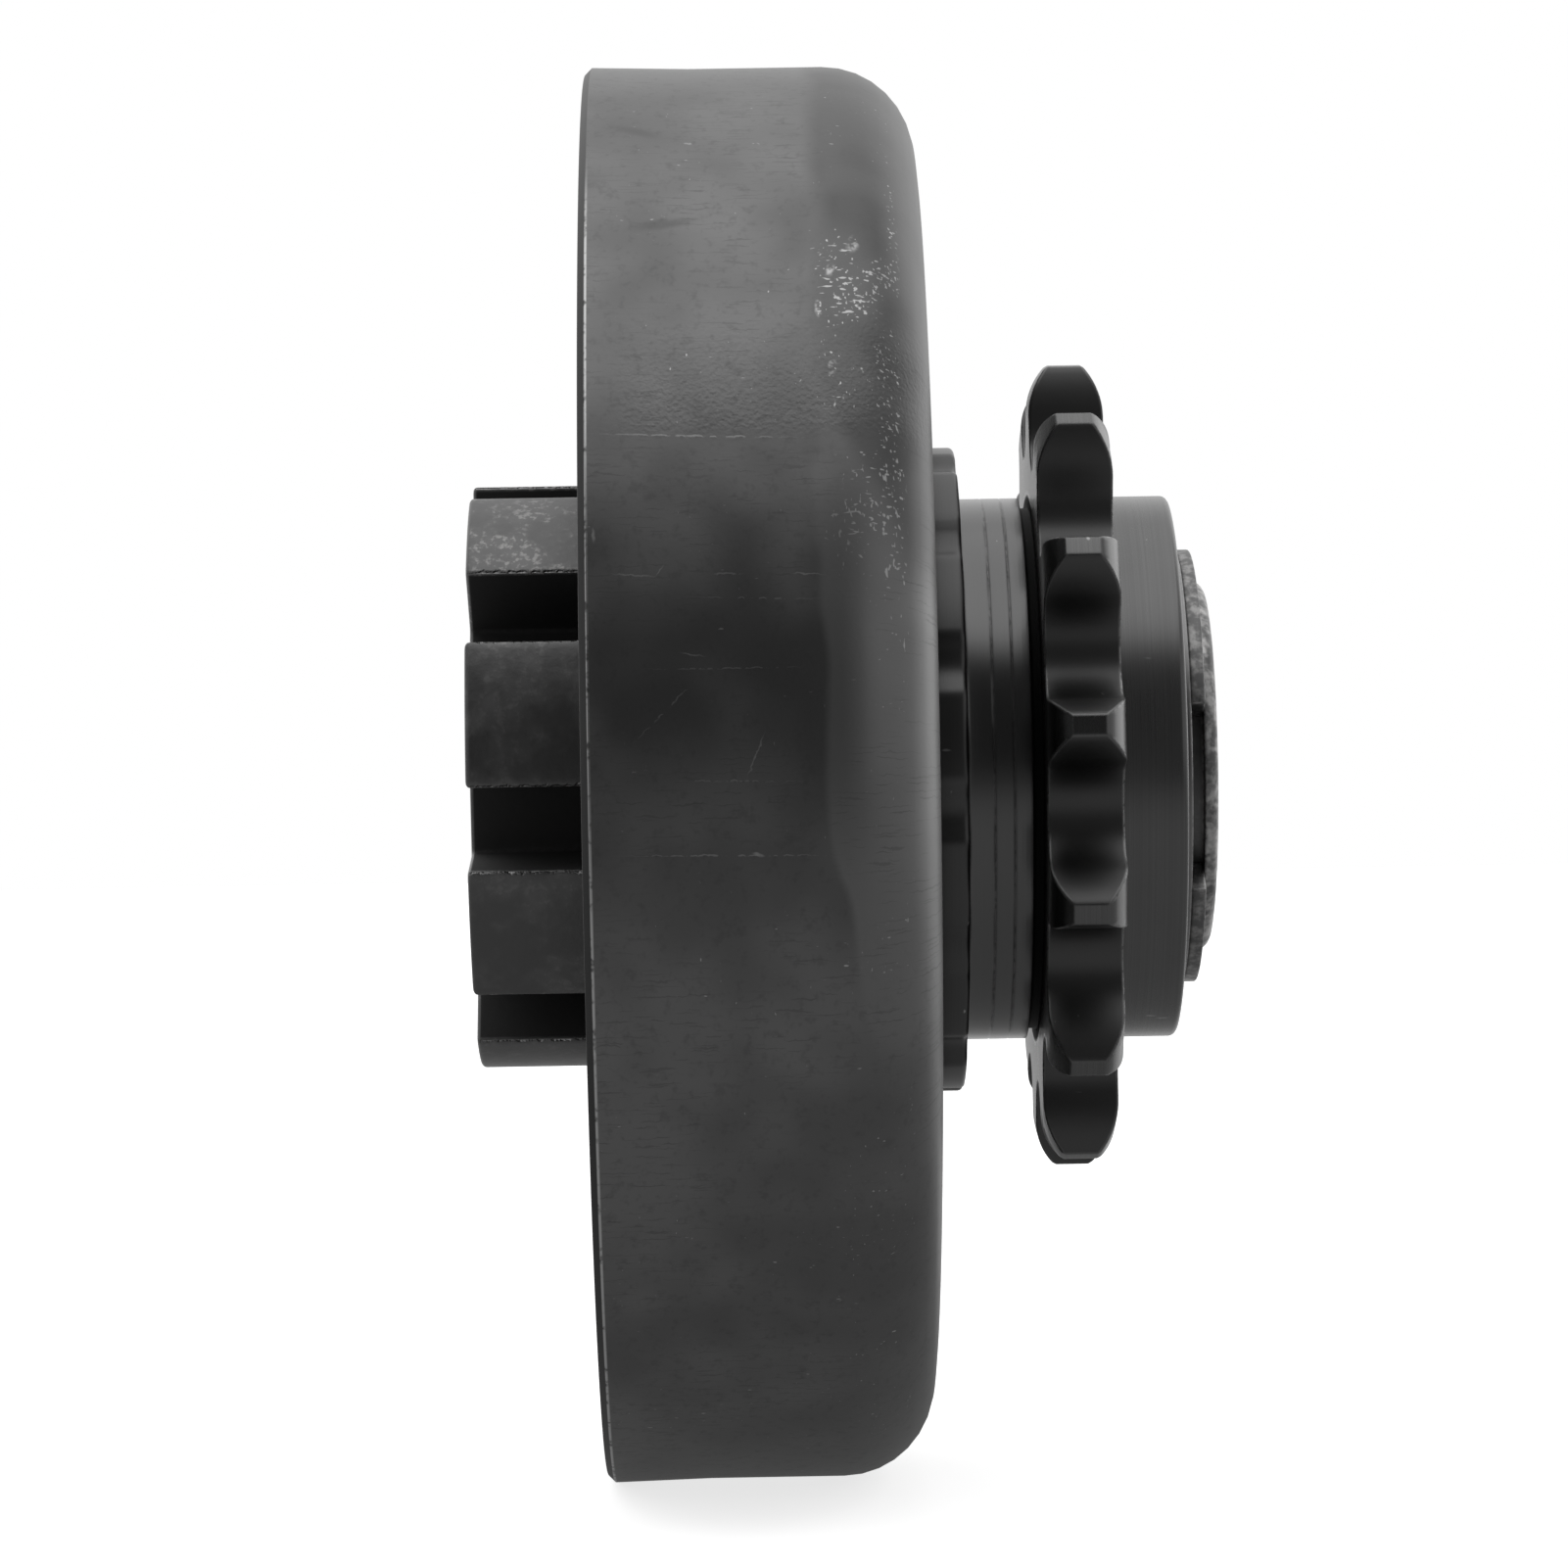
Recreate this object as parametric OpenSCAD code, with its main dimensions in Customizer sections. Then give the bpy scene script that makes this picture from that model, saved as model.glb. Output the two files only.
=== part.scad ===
// Centrifugal clutch for a small engine, with a chain sprocket on its drum.
// The shaft's axis is Y and the sprocket is on the +Y side. Heights along the axis are
// counted from the drum's open rim. Angles are counted from +X towards -Z.

/* [Drum] */
// Outside diameter at the rim
drum_d = 110.6; // [106:0.1:125]
// How much smaller in radius the wall is behind the flared rim
rim_flare = 0.2; // [0:0.05:0.5]
// Length of the flare
flare_length = 8; // [4:0.5:12]
// Thickness of the cylindrical wall
drum_wall = 3.5; // [2.5:0.1:4.5]
// Depth from the rim to the outer face of the web
drum_depth = 25.3; // [24:0.1:32]
// Thickness of the web
web_t = 3.5; // [2.5:0.1:4.5]
// Outside radius of the pressed corner
corner_r = 7; // [5:0.25:9]
// Chamfer on the rim's outer edge
rim_chamfer = 0.55; // [0.2:0.05:1]

/* [Sprocket] */
// Number of teeth
teeth = 14; // [14:1:18]
// Angle of the first tooth
tooth_phase = -5.5; // [-20:0.5:20]
// Pitch of the chain
chain_pitch = 12.7; // [12.7:0.1:14]
// Diameter of the chain's rollers
roller_d = 7.77; // [7.2:0.01:8.2]
// Width of the teeth at their root
tooth_w = 5.8; // [5:0.1:7]
// How far each side of a tooth is relieved at its tip
tooth_relief = 1.5; // [1:0.05:1.9]
// Radius of the curve that relieves each side
relief_r = 5.5; // [5:0.1:13]
// Half the angle between the two flanks of a tooth space
flank_angle = 22; // [19:0.5:24]
// Length of the straight part of a flank
flank_length = 0.8; // [0.6:0.1:1.8]
// Radius of the convex curve that tops each flank
topping_r = 8.5; // [8:0.5:13]
// Diameter of the flange that sits on the drum's web
flange_d = 50.6; // [50:0.1:54]
// Thickness of the flange
flange_t = 2.9; // [2:0.1:4]
// Diameter of the barrel
barrel_d = 42.5; // [40:0.1:44]
// Length of barrel between the flange and the teeth
barrel_inboard = 5.8; // [5:0.1:9]
// Length of barrel outboard of the teeth
barrel_outboard = 5.1; // [4:0.1:8]
// Width of the undercut beside the teeth
undercut_w = 0.8; // [0.5:0.1:1.2]
// Depth of that undercut
undercut_depth = 0.8; // [0.4:0.1:1]
// Depth of the two scored lines round the barrel
score_depth = 0.1; // [0.05:0.05:0.4]
// Width of a scored line
score_w = 0.3; // [0.2:0.05:0.5]
// Distance from the flange to the first scored line
score_place = 2; // [1:0.1:2.5]
// Distance between the two scored lines
score_step = 1.5; // [1:0.1:2]
// Diameter of the neck that passes through the drum's web
neck_d = 44; // [42:0.1:45]
// How far the neck is swaged over the web, in radius
swage_lip = 1.5; // [1:0.1:2]
// Thickness of the swaged lip
swage_t = 1.2; // [0.8:0.1:1.5]

/* [Rotor] */
// Diameter of the crankshaft bore
bore_d = 19.05; // [18:0.05:20]
// Width of the keyway
key_w = 4.76; // [4:0.01:5]
// Depth of the keyway beyond the bore
key_depth = 2.4; // [1.8:0.1:2.6]
// Diameter of the slotted body
hub_d = 45.6; // [43:0.1:48]
// How far the slotted body stands out of the drum's rim
hub_reach = 9.5; // [7:0.1:14]
// Number of slots, with one shoe in each
slots = 8; // [6:1:10]
// Angle of the first slot
slot_phase = 10.2; // [0:0.1:45]
// Width of a slot
slot_w = 6.3; // [5:0.1:7.5]
// Thickness of the journal's wall behind the keyway
journal_wall = 2.575; // [2:0.025:3]
// Height of a slot's floor above the journal
slot_step = 0.7; // [0.4:0.1:1.5]
// How far the journal runs on past the snap ring
journal_tip = 1.1; // [0.8:0.1:2]
// Rounding of the journal's end
journal_round = 1; // [0.5:0.1:1.2]

/* [Shoes] */
// Axial width of a shoe
shoe_w = 16.7; // [15:0.1:17]
// Space between the sides of two neighbouring shoes
shoe_space = 2.5; // [1.5:0.1:4]
// Thickness of the friction lining
lining_t = 3; // [2:0.1:4]
// Radial travel from rest until the lining meets the drum
shoe_travel = 1; // [0.6:0.05:1.5]
// How much a lining stops short of each side and end of its shoe
lining_inset = 0.5; // [0.3:0.1:1]
// Outside diameter of a garter spring's coil
spring_d = 4.6; // [4:0.1:5]
// Thickness of the shoe's wall outside a garter spring
spring_wall = 3.2; // [2:0.1:5]

/* [Rings and washers] */
// Diameter of the plate between the shoes and the drum's web
plate_d = 76; // [70:1:80]
// Thickness of that plate
plate_t = 1.5; // [1:0.1:2]
// Wall of the bronze bush
bush_wall = 2.45; // [2:0.05:2.8]
// Thickness of the outboard thrust washer
washer_t = 0.5; // [0.4:0.1:1]
// Thickness of the outboard snap ring
snap_t = 1.1; // [0.8:0.1:1.4]
// Radial width of the outboard snap ring
snap_w = 3.6; // [3:0.1:4]
// Angle of the opening in the outboard snap ring
snap_open = 50; // [30:5:70]
// Direction in which that opening points
snap_phase = 9; // [-30:1:30]
// Thickness of the ring that holds the shoes on the slotted body
keeper_t = 1.2; // [1:0.1:1.5]
// Radial width of that ring
keeper_w = 3; // [2.5:0.1:3.5]
// Angle of the opening in that ring
keeper_open = 14; // [10:1:20]
// Depth of both ring grooves
groove_depth = 1.1; // [0.8:0.1:1.3]

/* [Clearances] */
// Radial running clearance of the journal in its bush
running_fit = 0.05; // [0.02:0.01:0.1]
// Clearance of a shoe's lug on each side of its slot
lug_fit = 0.15; // [0.1:0.05:0.3]
// Clearance under a shoe and under its lug
seat_fit = 0.3; // [0.2:0.05:0.5]
// Axial clearance of what turns or slides past another face
face_fit = 0.2; // [0.1:0.05:0.3]
// End play of the drum under the thrust washer
end_play = 0.1; // [0.05:0.05:0.3]
// Clearance of a garter spring in its groove
spring_fit = 0.3; // [0.2:0.05:0.5]
// Clearance between a garter spring and the floor that it presses on
spring_rest = 0.06; // [0.03:0.01:0.15]

/* [Hidden] */
$fn = 96;

black_steel = [0.16, 0.16, 0.16];
drum_steel = [0.24, 0.24, 0.24];
bright_steel = [0.5, 0.5, 0.5];
bronze = [0.6, 0.42, 0.22];
sintered_iron = [0.3, 0.29, 0.28];
friction_material = [0.2, 0.17, 0.14];

overcut = 1;
edge_break = 0.5;
fine_edge = 0.3;
arc_steps = 8;
short_arc_steps = 5;

// Proportions that chain standards give for the tips and for the rollers' beds
tip_factor = 0.6;
bed_factor = 0.507;
topping_sweep = 35;

// Slots counted back from the first to the keyway's rib and to the keeper ring's opening
key_back = 2.5;
keeper_back = 2;

drum_r = drum_d / 2;
drum_bore_r = drum_r - rim_flare - drum_wall;
web_in = drum_depth - web_t;
neck_r = neck_d / 2;
lip_r = neck_r + swage_lip;
lip_in = web_in - swage_t;

flange_out = drum_depth + flange_t;
tooth_in = flange_out + barrel_inboard;
tooth_out = tooth_in + tooth_w;
barrel_end = tooth_out + barrel_outboard;
flange_r = flange_d / 2;
barrel_r = barrel_d / 2;
tooth_angle = 360 / teeth;
pitch_r = chain_pitch / 2 / sin(tooth_angle / 2);
tip_r = chain_pitch * (tip_factor + 1 / tan(tooth_angle / 2)) / 2;
roller_bed_r = bed_factor * roller_d;
relief_arc = acos((relief_r - tooth_relief) / relief_r);

journal_r = bore_d / 2 + key_depth + journal_wall;
bush_in_r = journal_r + running_fit;
bush_r = bush_in_r + bush_wall;
plate_out = lip_in - face_fit;
shoulder = plate_out - plate_t;
shoe_out = shoulder - face_fit;
shoe_in = shoe_out - shoe_w;
keeper_out = shoe_in - face_fit;
keeper_in = keeper_out - keeper_t;
washer_in = barrel_end + end_play;
washer_out = washer_in + washer_t;
snap_out = washer_out + snap_t;
journal_end = snap_out + journal_tip;
washer_r = bush_r + end_play;

hub_r = hub_d / 2;
slot_floor = journal_r + slot_step;
slot_angle = 360 / slots;
key_angle = slot_phase - key_back * slot_angle;
keeper_phase = slot_phase - keeper_back * slot_angle;

lining_r = drum_bore_r - shoe_travel;
shoe_r = lining_r - lining_t;
shoe_in_r = hub_r + seat_fit;
spring_bed_out = shoe_r - spring_wall;
spring_bed_in = spring_bed_out - spring_d - 2 * spring_fit;
spring_bed_depth = spring_d + 2 * spring_fit;
spring_ring_r = spring_bed_in + spring_rest + spring_d / 2;

// Points along an arc about c, from angle a0 to a1
function arc(c, r, a0, a1, steps = arc_steps) =
    [for (i = [0:steps]) c + r * [cos(a0 + (a1 - a0) * i / steps), sin(a0 + (a1 - a0) * i / steps)]];

// A point at a polar angle and distance from p
function from(p, angle, distance) = p + distance * [cos(angle), sin(angle)];

function flipped(points) = [for (i = [len(points) - 1:-1:0]) [points[i][0], -points[i][1]]];

// Stands what is modelled along +Z on the shaft's axis, +Y
module on_axis() {
    rotate([-90, 0, 0]) children();
}

module turned(profile) {
    rotate_extrude() polygon(profile);
}

// A flat ring between two radii and two heights
module ring(inner, outer, low, high) {
    turned([[inner, low], [outer, low], [outer, high], [inner, high]]);
}

// A flat ring with an opening, such as a circlip
module split_ring(inner, outer, low, high, opening, phase) {
    rotate(phase + opening / 2)
        rotate_extrude(angle = 360 - opening)
            polygon([[inner, low], [outer, low], [outer, high], [inner, high]]);
}

// One tooth space, with its centre line along +X: a bed for the roller, straight
// flanks, and convex topping curves that run out past the tips
module tooth_space() {
    bed = 90 - flank_angle;
    flank_start = from([pitch_r, 0], 180 - bed, roller_bed_r);
    flank_end = from(flank_start, flank_angle, flank_length);
    topping_centre = from(flank_end, flank_angle + 90, topping_r);
    topping_start = flank_angle - 90;
    topping = arc(topping_centre, topping_r, topping_start, topping_start + topping_sweep, short_arc_steps);
    side = concat(topping, [[tip_r + 2 * overcut, topping[short_arc_steps][1]]]);
    roller_bed = arc([pitch_r, 0], roller_bed_r, 180 + bed, 180 - bed);
    polygon(concat(flipped(side), roller_bed, side));
}

module drum() {
    wall_r = drum_r - rim_flare;
    inner_corner = max(corner_r - drum_wall, edge_break);
    color(drum_steel) on_axis() turned(concat(
        [[drum_r - rim_chamfer, 0], [drum_r, rim_chamfer], [wall_r, flare_length]],
        arc([wall_r - corner_r, drum_depth - corner_r], corner_r, 0, 90),
        [[neck_r, drum_depth], [neck_r, web_in]],
        arc([drum_bore_r - inner_corner, web_in - inner_corner], inner_corner, 90, 0, short_arc_steps),
        [[drum_bore_r, fine_edge], [drum_bore_r + fine_edge, 0]]
    ));
}

// The blank is turned first. The tooth spaces are then cut along its whole length, so
// they also leave shallow scallops in the flange.
module sprocket() {
    relief_low = [tip_r - relief_r * sin(relief_arc), tooth_in + relief_r];
    relief_high = [relief_low[0], tooth_out - relief_r];
    scores = [for (place = [score_place, score_place + score_step]) [
        [barrel_r, flange_out + place],
        [barrel_r - score_depth, flange_out + place + score_w / 2],
        [barrel_r, flange_out + place + score_w]
    ]];
    color(black_steel) on_axis() difference() {
        turned(concat(
            [[bush_r, lip_in], [lip_r - edge_break, lip_in], [lip_r, lip_in + edge_break]],
            [[lip_r, web_in], [neck_r, web_in], [neck_r, drum_depth], [flange_r, drum_depth]],
            [[flange_r, flange_out - edge_break], [flange_r - edge_break, flange_out]],
            [[barrel_r, flange_out]],
            scores[0],
            scores[1],
            [[barrel_r, tooth_in - undercut_w], [barrel_r - undercut_depth, tooth_in - undercut_w]],
            [[barrel_r - undercut_depth, tooth_in]],
            arc(relief_low, relief_r, -90, relief_arc - 90, short_arc_steps),
            arc(relief_high, relief_r, 90 - relief_arc, 90, short_arc_steps),
            [[barrel_r, tooth_out], [barrel_r, barrel_end - edge_break]],
            [[barrel_r - edge_break, barrel_end], [bush_r, barrel_end]]
        ));
        for (i = [0:teeth - 1])
            rotate(tooth_phase + (i + 0.5) * tooth_angle)
                translate([0, 0, drum_depth - overcut])
                    linear_extrude(barrel_end - drum_depth + 2 * overcut) tooth_space();
    }
}

module bush() {
    color(bronze) on_axis() ring(bush_in_r, bush_r, lip_in, barrel_end);
}

module rotor_hub() {
    bore_r = bore_d / 2;
    color(black_steel) on_axis() difference() {
        turned(concat([
            [bore_r + edge_break, -hub_reach],
            [hub_r - edge_break, -hub_reach],
            [hub_r, edge_break - hub_reach],
            [hub_r, keeper_in],
            [hub_r - groove_depth, keeper_in],
            [hub_r - groove_depth, keeper_out],
            [hub_r, keeper_out],
            [hub_r, shoulder],
            [journal_r, shoulder],
            [journal_r, washer_out],
            [journal_r - groove_depth, washer_out],
            [journal_r - groove_depth, snap_out],
            [journal_r, snap_out]
        ], arc(
            [journal_r - journal_round, journal_end - journal_round],
            journal_round, 0, 90, short_arc_steps
        ), [
            [bore_r + edge_break, journal_end],
            [bore_r, journal_end - edge_break],
            [bore_r, edge_break - hub_reach]
        ]));
        for (i = [0:slots - 1])
            rotate(slot_phase + i * slot_angle)
                translate([slot_floor, -slot_w / 2, -hub_reach - overcut])
                    cube([hub_r, slot_w, hub_reach + shoulder + 2 * overcut]);
        rotate(key_angle)
            translate([0, -key_w / 2, -hub_reach - overcut])
                cube([bore_r + key_depth, key_w, hub_reach + journal_end + 2 * overcut]);
    }
}

module back_plate() {
    color(bright_steel) on_axis() ring(journal_r, plate_d / 2, shoulder, plate_out);
}

module shoe_keeper_ring() {
    inner = hub_r - groove_depth;
    color(bright_steel) on_axis()
        split_ring(inner, inner + keeper_w, keeper_in, keeper_out, keeper_open, keeper_phase);
}

module thrust_washer() {
    color(bright_steel) on_axis() ring(bush_in_r, washer_r, washer_in, washer_out);
}

module snap_ring() {
    inner = journal_r - groove_depth;
    color(black_steel) on_axis()
        split_ring(inner, inner + snap_w, washer_out, snap_out, snap_open, snap_phase);
}

// The closed form of a close-wound coil whose ends are joined
module garter_spring(height) {
    color(bright_steel) on_axis()
        rotate_extrude() translate([spring_ring_r, height]) circle(d = spring_d);
}

module garter_spring_inboard() {
    garter_spring(shoe_in + spring_bed_depth / 2);
}

module garter_spring_outboard() {
    garter_spring(shoe_out - spring_bed_depth / 2);
}

// The part of a slot's sector that is left when each side gives up half a space
module sector(space) {
    half = slot_angle / 2;
    tip = [space / 2 / sin(half), 0];
    polygon([tip, from(tip, -half, drum_d), from(tip, half, drum_d)]);
}

module annulus(inner, outer) {
    difference() {
        circle(outer);
        circle(inner);
    }
}

module shoe(i) {
    lug_tip = slot_floor + seat_fit;
    lug_w = slot_w - 2 * lug_fit;
    color(sintered_iron) on_axis() difference() {
        rotate(slot_phase + (i - 1) * slot_angle)
            translate([0, 0, shoe_in]) linear_extrude(shoe_w) {
                intersection() {
                    annulus(shoe_in_r, shoe_r);
                    sector(shoe_space);
                }
                translate([lug_tip, -lug_w / 2]) square([shoe_in_r - lug_tip + overcut, lug_w]);
            }
        ring(spring_bed_in, spring_bed_out, shoe_in - overcut, shoe_in + spring_bed_depth);
        ring(spring_bed_in, spring_bed_out, shoe_out - spring_bed_depth, shoe_out + overcut);
    }
}

module lining(i) {
    color(friction_material) on_axis()
        rotate(slot_phase + (i - 1) * slot_angle)
            translate([0, 0, shoe_in + lining_inset])
                linear_extrude(shoe_w - 2 * lining_inset)
                    intersection() {
                        annulus(shoe_r, lining_r);
                        sector(shoe_space + 2 * lining_inset);
                    }
}

drum();
sprocket();
bush();
rotor_hub();
back_plate();
shoe_keeper_ring();
thrust_washer();
snap_ring();
garter_spring_inboard();
garter_spring_outboard();
for (i = [1:slots]) shoe(i);
for (i = [1:slots]) lining(i);
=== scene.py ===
import math

import bmesh
import bpy
from mathutils import Matrix, Vector


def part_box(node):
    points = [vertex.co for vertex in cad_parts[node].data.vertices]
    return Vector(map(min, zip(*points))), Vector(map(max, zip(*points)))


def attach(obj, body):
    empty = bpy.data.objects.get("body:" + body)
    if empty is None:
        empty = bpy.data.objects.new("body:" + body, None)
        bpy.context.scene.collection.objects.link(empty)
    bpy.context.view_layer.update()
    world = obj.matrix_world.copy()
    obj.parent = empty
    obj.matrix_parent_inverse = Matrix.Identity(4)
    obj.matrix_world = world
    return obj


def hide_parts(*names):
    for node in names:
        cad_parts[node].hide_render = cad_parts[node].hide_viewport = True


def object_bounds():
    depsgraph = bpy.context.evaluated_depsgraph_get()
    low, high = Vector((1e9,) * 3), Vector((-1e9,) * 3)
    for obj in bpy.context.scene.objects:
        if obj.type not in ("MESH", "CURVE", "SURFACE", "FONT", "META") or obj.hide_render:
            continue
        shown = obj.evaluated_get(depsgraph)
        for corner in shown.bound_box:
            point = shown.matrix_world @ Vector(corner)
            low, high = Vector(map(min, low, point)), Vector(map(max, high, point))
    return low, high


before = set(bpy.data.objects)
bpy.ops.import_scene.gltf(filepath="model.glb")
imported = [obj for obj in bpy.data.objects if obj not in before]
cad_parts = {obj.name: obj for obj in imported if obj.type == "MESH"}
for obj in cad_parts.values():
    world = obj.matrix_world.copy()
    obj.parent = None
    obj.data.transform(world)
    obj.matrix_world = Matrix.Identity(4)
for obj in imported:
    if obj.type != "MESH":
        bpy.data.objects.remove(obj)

# Centrifugal clutch: a black drum with a chain sprocket, on a slotted hub with sprung shoes.
# The shaft's axis is Y. Angles round it are counted from +X towards -Z, lengths are in millimetres.

mm = 0.001
slotCount, slotPhase = 8, 10.2
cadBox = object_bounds()
print("frame loaded:", len(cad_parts), "nodes")


# shared shapes

def aroundShaft(radius, height, angle):
    turn = math.radians(angle)
    return Vector((radius * math.cos(turn), height, -radius * math.sin(turn))) * mm


# corners are (x, y, radius), and each corner with a radius becomes an arc
def rounded(corners, closed=True, steps=4):
    path = []
    count = len(corners)
    for i, (x, y, radius) in enumerate(corners):
        here = Vector((x, y))
        if radius <= 0 or (not closed and i in (0, count - 1)):
            path.append(here)
            continue
        before = Vector(corners[i - 1][:2]) - here
        after = Vector(corners[(i + 1) % count][:2]) - here
        half = before.angle(after) / 2
        if half > math.radians(89):
            path.append(here)
            continue
        reach = min(radius / math.tan(half), before.length * 0.48, after.length * 0.48)
        start, end = here + before.normalized() * reach, here + after.normalized() * reach
        size = reach * math.tan(half)
        centre = here + (before.normalized() + after.normalized()).normalized() * size / math.sin(half)
        first, last = start - centre, end - centre
        for k in range(steps + 1):
            path.append(centre + first.slerp(last, k / steps) * size)
    return path


def newObject(name, data=None):
    made = bpy.data.objects.new(name, bpy.data.meshes.new(name) if data is None else data)
    bpy.context.scene.collection.objects.link(made)
    return made


# rows of points joined by quads; a row or the rows may close on themselves
def gridMesh(name, rows, closeRow=True, closeRows=True):
    work = bmesh.new()
    points = [[work.verts.new(p) for p in row] for row in rows]
    width = len(points[0])
    for i in range(len(points) if closeRows else len(points) - 1):
        here, there = points[i], points[(i + 1) % len(points)]
        for j in range(width if closeRow else width - 1):
            k = (j + 1) % width
            work.faces.new((here[j], here[k], there[k], there[j]))
    piece = newObject(name)
    work.to_mesh(piece.data)
    work.free()
    return piece


def faceOutwards(piece, weld=0.002):
    work = bmesh.new()
    work.from_mesh(piece.data)
    bmesh.ops.remove_doubles(work, verts=work.verts, dist=weld * mm)
    bmesh.ops.recalc_face_normals(work, faces=work.faces)
    work.to_mesh(piece.data)
    work.free()


def smoothShade(piece, angle=32):
    for face in piece.data.polygons:
        face.use_smooth = True
    piece.data.set_sharp_from_angle(angle=math.radians(angle))


# applies all modifiers and leaves one plain mesh
def bake(piece):
    view = bpy.context.evaluated_depsgraph_get()
    mesh = bpy.data.meshes.new_from_object(piece.evaluated_get(view))
    old = piece.data
    piece.modifiers.clear()
    piece.data = mesh
    mesh.name = piece.name
    bpy.data.meshes.remove(old)


def settle(piece, body, slot, *nodes):
    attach(piece, body)
    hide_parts(*nodes)


# node helpers: each works in the tree of the sockets that it is given

def grey(level, warmth=0.0):
    return (level * (1 + warmth), level, level * (1 - warmth))


# links a socket or sets a plain value; one number on a colour socket is a grey
def feed(socket, value):
    if isinstance(value, bpy.types.NodeSocket):
        socket.id_data.links.new(value, socket)
    elif socket.type == "RGBA":
        socket.default_value = (*(grey(value) if isinstance(value, float) else value), 1.0)
    else:
        socket.default_value = value


def newNode(tree, kind, inputs):
    node = tree.nodes.new(kind)
    for label, value in inputs.items():
        feed(node.inputs[label], value)
    return node


def treeOf(values):
    return next(value.id_data for value in values if isinstance(value, bpy.types.NodeSocket))


def mathNode(operation, *values):
    node = newNode(treeOf(values), "ShaderNodeMath", dict(enumerate(values)))
    node.operation = operation
    return node.outputs[0]


def vectorNode(operation, *values):
    node = newNode(treeOf(values), "ShaderNodeVectorMath", dict(enumerate(values)))
    node.operation = operation
    return node.outputs["Value" if operation == "DOT_PRODUCT" else "Vector"]


def chained(operation, values):
    result = values[0]
    for value in values[1:]:
        result = mathNode(operation, result, value)
    return result


def total(*values):
    return chained("ADD", values)


def product(*values):
    return chained("MULTIPLY", values)


def highest(*values):
    return chained("MAXIMUM", values)


def joined(*values):
    return newNode(treeOf(values), "ShaderNodeCombineXYZ", dict(enumerate(values))).outputs[0]


def parted(place):
    return newNode(place.id_data, "ShaderNodeSeparateXYZ", {0: place}).outputs


# 0 below low, 1 above high, smooth in between; low and high may be sockets
def rise(value, low, high):
    node = newNode(value.id_data, "ShaderNodeMapRange", {"Value": value, "From Min": low, "From Max": high})
    node.interpolation_type = "SMOOTHSTEP"
    return node.outputs["Result"]


def fall(value, low, high):
    return mathNode("SUBTRACT", 1.0, rise(value, low, high))


# rises from a to b and falls from c to d
def between(value, a, b, c, d):
    return product(rise(value, a, b), fall(value, c, d))


def noise(place, scale, detail, roughness, dimensions="3D"):
    inputs = {"Vector": place, "Scale": scale, "Detail": detail, "Roughness": roughness}
    node = newNode(place.id_data, "ShaderNodeTexNoise", inputs)
    node.noise_dimensions = dimensions
    return node.outputs["Fac"]


def objectPlace(tree):
    return tree.nodes.new("ShaderNodeTexCoord").outputs["Object"]


# distance from the shaft and height along it in millimetres, and degrees below the photographed side
def shaftPlace(tree):
    x, height, z = parted(objectPlace(tree))
    radius = mathNode("SQRT", total(product(x, x), product(z, z)))
    angle = mathNode("ARCTAN2", z, x)
    return product(radius, 1 / mm), product(height, 1 / mm), product(angle, -180 / math.pi)


# a node group with named inputs and outputs, which wire(tree, given, out) fills
def nodeGroup(kind, name, inputs, outputs, wire):
    tree = bpy.data.node_groups.new(name, kind)
    for label, sort in outputs:
        tree.interface.new_socket(label, in_out="OUTPUT", socket_type="NodeSocket" + sort)
    for label, sort, value in inputs:
        socket = tree.interface.new_socket(label, in_out="INPUT", socket_type="NodeSocket" + sort)
        if value is not None:
            socket.default_value = value
    wire(tree, tree.nodes.new("NodeGroupInput").outputs, tree.nodes.new("NodeGroupOutput").inputs)
    return tree


# geometry nodes for what repeats

def runTree(piece, tree, values):
    modifier = piece.modifiers.new(tree.name, "NODES")
    modifier.node_group = tree
    sockets = {item.name: item.identifier for item in tree.interface.items_tree if item.in_out == "INPUT"}
    for label, value in values.items():
        modifier[sockets[label]] = value
    bake(piece)


def handOut(tree, geometry, given, out):
    finish = newNode(tree, "GeometryNodeSetMaterial", {"Geometry": geometry, "Material": given["Finish"]})
    feed(out["Geometry"], finish.outputs[0])


# one sector of a round piece, copied round the shaft and welded
def wireRepeat(tree, given, out):
    points = newNode(tree, "GeometryNodePoints", {"Count": given["Count"]})
    index = tree.nodes.new("GeometryNodeInputIndex").outputs[0]
    angle = total(product(index, mathNode("DIVIDE", 2 * math.pi, given["Count"])), given["Phase"])
    copies = newNode(tree, "GeometryNodeInstanceOnPoints", {
        "Points": points.outputs[0], "Instance": given["Sector"], "Rotation": joined(0.0, angle)})
    whole = newNode(tree, "GeometryNodeRealizeInstances", {0: copies.outputs[0]})
    weld = newNode(tree, "GeometryNodeMergeByDistance", {
        "Geometry": whole.outputs[0], "Distance": 0.004 * mm})
    handOut(tree, weld.outputs[0], given, out)


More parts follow.
